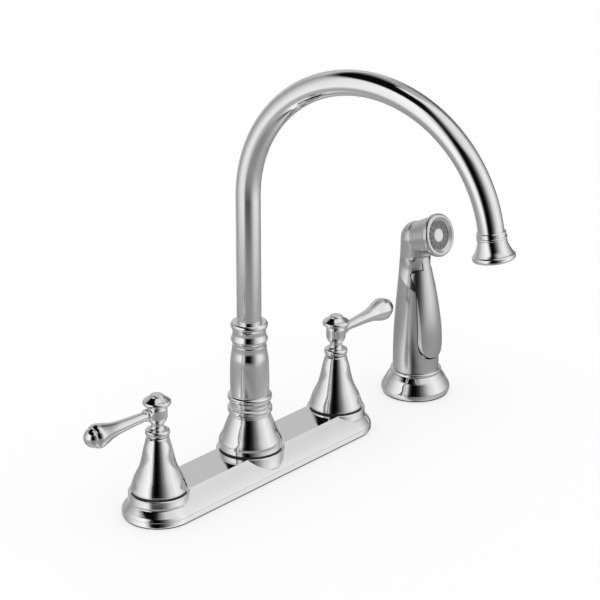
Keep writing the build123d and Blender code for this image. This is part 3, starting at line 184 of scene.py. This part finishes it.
# material slot: how it is made, its colours, its roughness and what follows it
FINISHES = {
    "polished_chrome": (chrome, (0.86, 0.865, 0.87), 0.03, 0.03, 0.04),
    "plated_spray": (chrome, (0.70, 0.705, 0.70), 0.17, 0.05, 0.05),
    "spray_ring": (chrome, (0.72, 0.725, 0.73), 0.15, 0.05, 0.05),
    "spray_face": (moulded, grey(0.17), grey(0.22), 0.35),
    "spray_button": (moulded, grey(0.74), grey(0.80), 0.30),
    "brass": (metal, (0.62, 0.42, 0.17), (0.80, 0.58, 0.27), 0.22),
    "copper_tube": (metal, (0.66, 0.32, 0.19), (0.80, 0.44, 0.28), 0.26),
    "disc_ceramic": (moulded, (0.82, 0.79, 0.72), (0.90, 0.88, 0.82), 0.25),
    "rubber": (moulded, grey(0.018), grey(0.032), 0.60),
    "light_plastic": (moulded, grey(0.66), grey(0.74), 0.42),
    "nut_plastic": (moulded, grey(0.030), grey(0.055), 0.45),
    "steel": (metal, grey(0.42), grey(0.60), 0.25, STEEL_GRAIN),
}
finishes = {slot: make(slot, *looks) for slot, (make, *looks) in FINISHES.items()}
for part in frame["record"]["subparts"]:
    shown = nodes[part["node"]]
    shown.data.materials.clear()
    shown.data.materials.append(finishes[part["material_slot"]])


# ------------------------------------------------------------------ camera
AIM = Vector((0, -0.060, 0.150))
AZIMUTH, ELEVATION, DISTANCE = radians(-49.2), radians(22.0), 2.0
PICTURE, SENSOR = 600, 36                   # pixels and mm along a side
FOCAL, SHIFT_X, SHIFT_Y = 2709.15, -9.31, 8.06      # pixels
NEAR, FAR = 0.05, 30

back = Vector((sin(AZIMUTH) * cos(ELEVATION), -cos(AZIMUTH) * cos(ELEVATION),
               sin(ELEVATION)))
view = bpy.data.cameras.new("camera")
view.lens = FOCAL / PICTURE * SENSOR
view.sensor_width = SENSOR
view.shift_x = SHIFT_X / PICTURE
view.shift_y = SHIFT_Y / PICTURE
view.clip_start, view.clip_end = NEAR, FAR
camera = bpy.data.objects.new("camera", view)
bpy.context.scene.collection.objects.link(camera)
camera.location = AIM + back * DISTANCE
camera.rotation_euler = back.to_track_quat("Z", "Y").to_euler()
bpy.context.scene.camera = camera


# ------------------------------------------------------------------ floor
REACH = 12.0                # of the floor, each way from the middle
FLOOR_DROP = 0.0003         # keeps it clear of the undersides that stand on it
SHEEN_LIFT = 0.0001
VEIL = 0.62                 # share of plain white in what the eye sees of it


def level_square(name, height):
    """A flat square at a height, as large as the floor."""
    mesh = bpy.data.meshes.new(name)
    mesh.from_pydata([(-REACH, -REACH, height), (REACH, -REACH, height),
                      (REACH, REACH, height), (-REACH, REACH, height)],
                     [], [(0, 1, 2, 3)])
    made = bpy.data.objects.new(name, mesh)
    bpy.context.scene.collection.objects.link(made)
    return made


# a plain white floor level with the undersides of the gaskets; the eye sees it
# nearly as white as the room, with a faint shadow left
floor = level_square("floor", 0)
floor.location.z = -FLOOR_DROP
floor_mat, floor_tree, floor_shader = material("floor")
floor_shader.inputs["Base Color"].default_value = WHITE
floor_shader.inputs["Roughness"].default_value = 1.0
floor_shader.inputs["Specular IOR Level"].default_value = 0.0
eye = node(floor_tree, "ShaderNodeLightPath").outputs["Is Camera Ray"]
white = node(floor_tree, "ShaderNodeEmission", {"Color": WHITE, "Strength": 1.0})
veiled = mix_shaders(floor_tree, calc(floor_tree, "MULTIPLY", eye, VEIL),
                     floor_shader.outputs[0], white.outputs[0])
floor_end = floor_tree.nodes["Material Output"]
floor_tree.links.new(veiled, floor_end.inputs["Surface"])
floor.data.materials.append(floor_mat)


# ------------------------------------------------------------------ tent
CHROME_SHARE = 0.86         # of the light that the chrome gives back


def around(degrees):
    """An azimuth, counted from the camera's, on a ramp; 0.5 is the camera."""
    return 0.5 + degrees / 360


def level(value):
    """A display value of 0..255 as light, before the chrome takes its share."""
    share = value / 255
    return grey(((share + 0.055) / 1.055) ** 2.4 / CHROME_SHARE)


# what polished metal sees around it, as (degrees from the camera, level): a white
# tent with a black flag where the camera stands
TENT = [(-178, 188), (-150, 186), (-122, 148), (-100, 185), (-80, 222), (-60, 240),
        (-44, 248), (-34, 205), (-24, 60), (-16, 2), (0, 4), (12, 45), (28, 120),
        (50, 205), (78, 238), (100, 222), (120, 185), (148, 90), (162, 110),
        (174, 186)]
# higher up, it is dark from -148 to -20 degrees
UPPER = [(-178, 150), (-164, 110), (-148, 20), (-136, 6), (-20, 5), (-6, 50),
         (10, 140), (30, 205), (70, 225), (118, 225), (140, 170), (174, 160)]
# a direction's Z where the tent ends and the upper part is whole
TENT_TOP, UPPER_BOTTOM = 0.58, 0.70
# and where the roof begins and is whole
ROOF_EDGE, ROOF_FULL, ROOF_LEVEL = 0.975, 0.992, 215


def compass(tree, east, north):
    """The ramp position of a direction given by its X and Y."""
    south = calc(tree, "MULTIPLY", north, -1.0)
    turn = calc(tree, "ARCTAN2", east, south)
    placed = calc(tree, "MULTIPLY_ADD", turn, 0.5 / pi, 0.5 - AZIMUTH * 0.5 / pi)
    return calc(tree, "FRACT", placed)


def tent(tree, heading, profile):
    """The light of a profile in a direction."""
    return ramp(tree, compass(tree, heading["X"], heading["Y"]),
                [(around(degrees), level(value)) for degrees, value in profile])


# the floor as gloss sees it: the tent's pattern close by and far off, an even grey
# between them, by distance in metres from the line that joins the two handles
HANDLE_X = 0.1016           # of each handle's axis, either side of the middle
MIDDLE = [(0.10, 162), (0.16, 142), (0.30, 150), (0.45, 160)]
TENT_SHARE = [(0.045, 1.0), (0.10, 0.15), (0.30, 0.15), (0.50, 0.68), (0.68, 1.0)]

sheen = level_square("floor_sheen", SHEEN_LIFT)
sheen.visible_camera = False
sheen.visible_diffuse = False
sheen.visible_shadow = False
sheen_mat = bpy.data.materials.new("floor_sheen")
sheen_mat.use_nodes = True
sheen.data.materials.append(sheen_mat)
tree = sheen_mat.node_tree
tree.nodes.clear()
place = node(tree, "ShaderNodeTexCoord")
spot = parts_of(tree, place.outputs["Object"])
beyond = calc(tree, "SUBTRACT", calc(tree, "ABSOLUTE", spot["X"]), HANDLE_X)
flat = node(tree, "ShaderNodeCombineXYZ")
tree.links.new(calc(tree, "MAXIMUM", beyond, 0.0), flat.inputs[0])
tree.links.new(spot["Y"], flat.inputs[1])
away = node(tree, "ShaderNodeVectorMath", operation="LENGTH")
tree.links.new(flat.outputs[0], away.inputs[0])
distance = away.outputs["Value"]
middle = ramp(tree, distance, [(at, level(value)) for at, value in MIDDLE])
share = ramp(tree, distance, [(at, grey(value)) for at, value in TENT_SHARE])
coming = node(tree, "ShaderNodeNewGeometry")
ray = node(tree, "ShaderNodeVectorMath", {"Scale": -1.0}, operation="SCALE")
tree.links.new(coming.outputs["Incoming"], ray.inputs[0])
mirrored = tent(tree, parts_of(tree, ray.outputs[0]), TENT)
glow = node(tree, "ShaderNodeEmission", {"Strength": 1.0})
tree.links.new(blend(tree, share, middle, mirrored), glow.inputs["Color"])
end = node(tree, "ShaderNodeOutputMaterial")
tree.links.new(glow.outputs[0], end.inputs["Surface"])


# ------------------------------------------------------------------ room
# white to the eye and to soft light, the tent for gloss
world = bpy.data.worlds.new("studio")
bpy.context.scene.world = world
world.use_nodes = True
sky = world.node_tree
sky.nodes.clear()
direction = node(sky, "ShaderNodeTexCoord").outputs["Generated"]
split = parts_of(sky, direction)
roof = node(sky, "ShaderNodeRGB").outputs[0]
roof.default_value = (*level(ROOF_LEVEL), 1)
walls = blend(sky, within(sky, split["Z"], TENT_TOP, UPPER_BOTTOM),
              tent(sky, split, TENT), tent(sky, split, UPPER))
glossy = blend(sky, within(sky, split["Z"], ROOF_EDGE, ROOF_FULL), walls, roof)
is_gloss = node(sky, "ShaderNodeLightPath").outputs["Is Glossy Ray"]
seen_plain = node(sky, "ShaderNodeBackground", {"Color": WHITE, "Strength": 1.0})
seen_gloss = node(sky, "ShaderNodeBackground", {"Strength": 1.0})
sky.links.new(glossy, seen_gloss.inputs["Color"])
mixed = mix_shaders(sky, is_gloss, seen_plain.outputs[0], seen_gloss.outputs[0])
out = node(sky, "ShaderNodeOutputWorld")
sky.links.new(mixed, out.inputs["Surface"])
